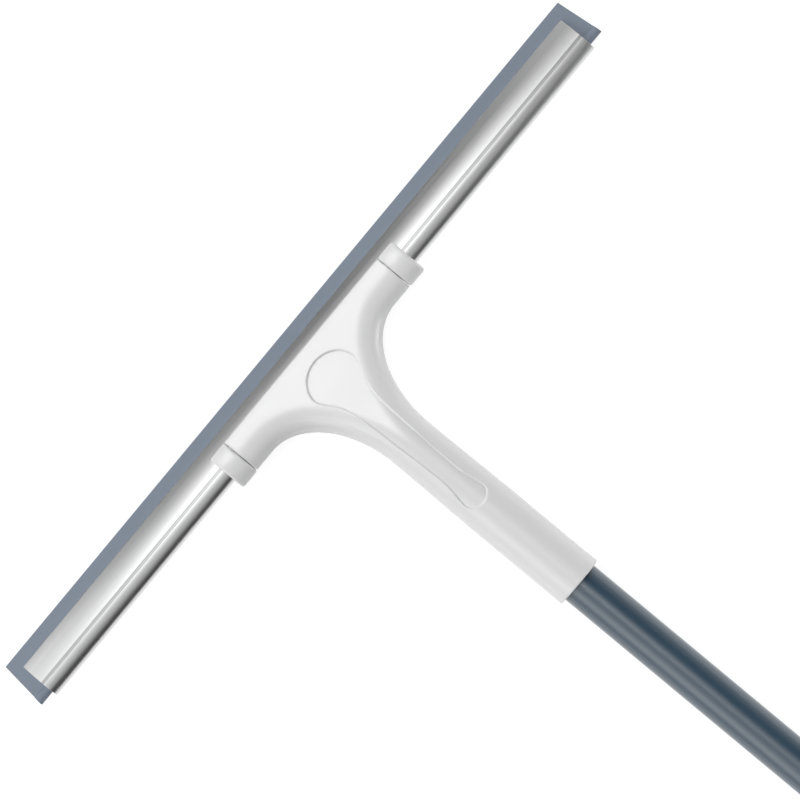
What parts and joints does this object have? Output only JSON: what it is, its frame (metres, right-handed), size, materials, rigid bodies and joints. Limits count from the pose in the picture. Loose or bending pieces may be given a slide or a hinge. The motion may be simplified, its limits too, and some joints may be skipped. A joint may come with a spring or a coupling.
{
  "type": "window squeegee",
  "caption": "Window squeegee: flat rubber blade in an aluminium channel, T-shaped plastic head bent back from the glass, screwed to a telescopic pole with a twist lock.",
  "frame": {"origin": "centre of the bounding box at its lowest level, under the pole", "axes": "+Y along the pole towards the blade, +X along the blade to its right end, +Z out of the face that the picture shows"},
  "size_m": [0.3846, 0.8886, 0.031],
  "materials": {
    "rubber": "matt blue-grey rubber",
    "aluminium": "satin, drawn along its length",
    "white_plastic": "smooth semi-gloss white",
    "dark_plastic": "plain dark moulding",
    "pole_coating": "semi-gloss blue-grey coating",
    "steel": "zinc-plated",
    "grip_rubber": "soft matt dark blue-grey",
    "bush_plastic": "natural nylon",
    "washer_rubber": "black, matt"
  },
  "bodies": {
    "head": {"rubber_blade": "rubber", "blade_channel": "aluminium", "head_housing": "white_plastic", "back_cover": "white_plastic", "left_collar": "white_plastic", "right_collar": "white_plastic", "hub_screw_left": "steel", "hub_screw_right": "steel", "neck_screw_upper": "steel", "neck_screw_lower": "steel", "socket_insert": "dark_plastic"},
    "washer": {"pole_washer": "washer_rubber"},
    "upper_pole": {"pole_plug": "dark_plastic", "plug_pin": "steel", "upper_tube": "pole_coating", "guide_bush": "bush_plastic"},
    "lower_pole": {"lower_tube": "pole_coating", "lock_ferrule": "dark_plastic", "grip_sleeve": "grip_rubber", "end_cap": "white_plastic", "cap_pin": "steel"},
    "lock": {"lock_collar": "white_plastic"}
  },
  "joints": [
    {"name": "washer_travel", "type": "slide", "parent": "head", "child": "washer", "axis": [0, -1, 0], "range_m": [0, 0.0126]},
    {"name": "pole_unscrew", "type": "hinge", "parent": "washer", "child": "upper_pole", "pos_m": [0, 0.30286, 0.0155], "axis": [0, -1, 0], "range_deg": [0, 900]},
    {"name": "pole_extension", "type": "slide", "parent": "upper_pole", "child": "lower_pole", "axis": [0, -1, 0], "range_m": [-0.163, 0.224]},
    {"name": "lock_twist", "type": "hinge", "parent": "lower_pole", "child": "lock", "pos_m": [0, 0.10446, 0.0155], "axis": [0, -1, 0], "range_deg": [0, 90]}
  ],
  "couplings": [
    {"joint": "washer_travel", "follows": "pole_unscrew", "m_per_rad": 0.00079577}
  ]
}
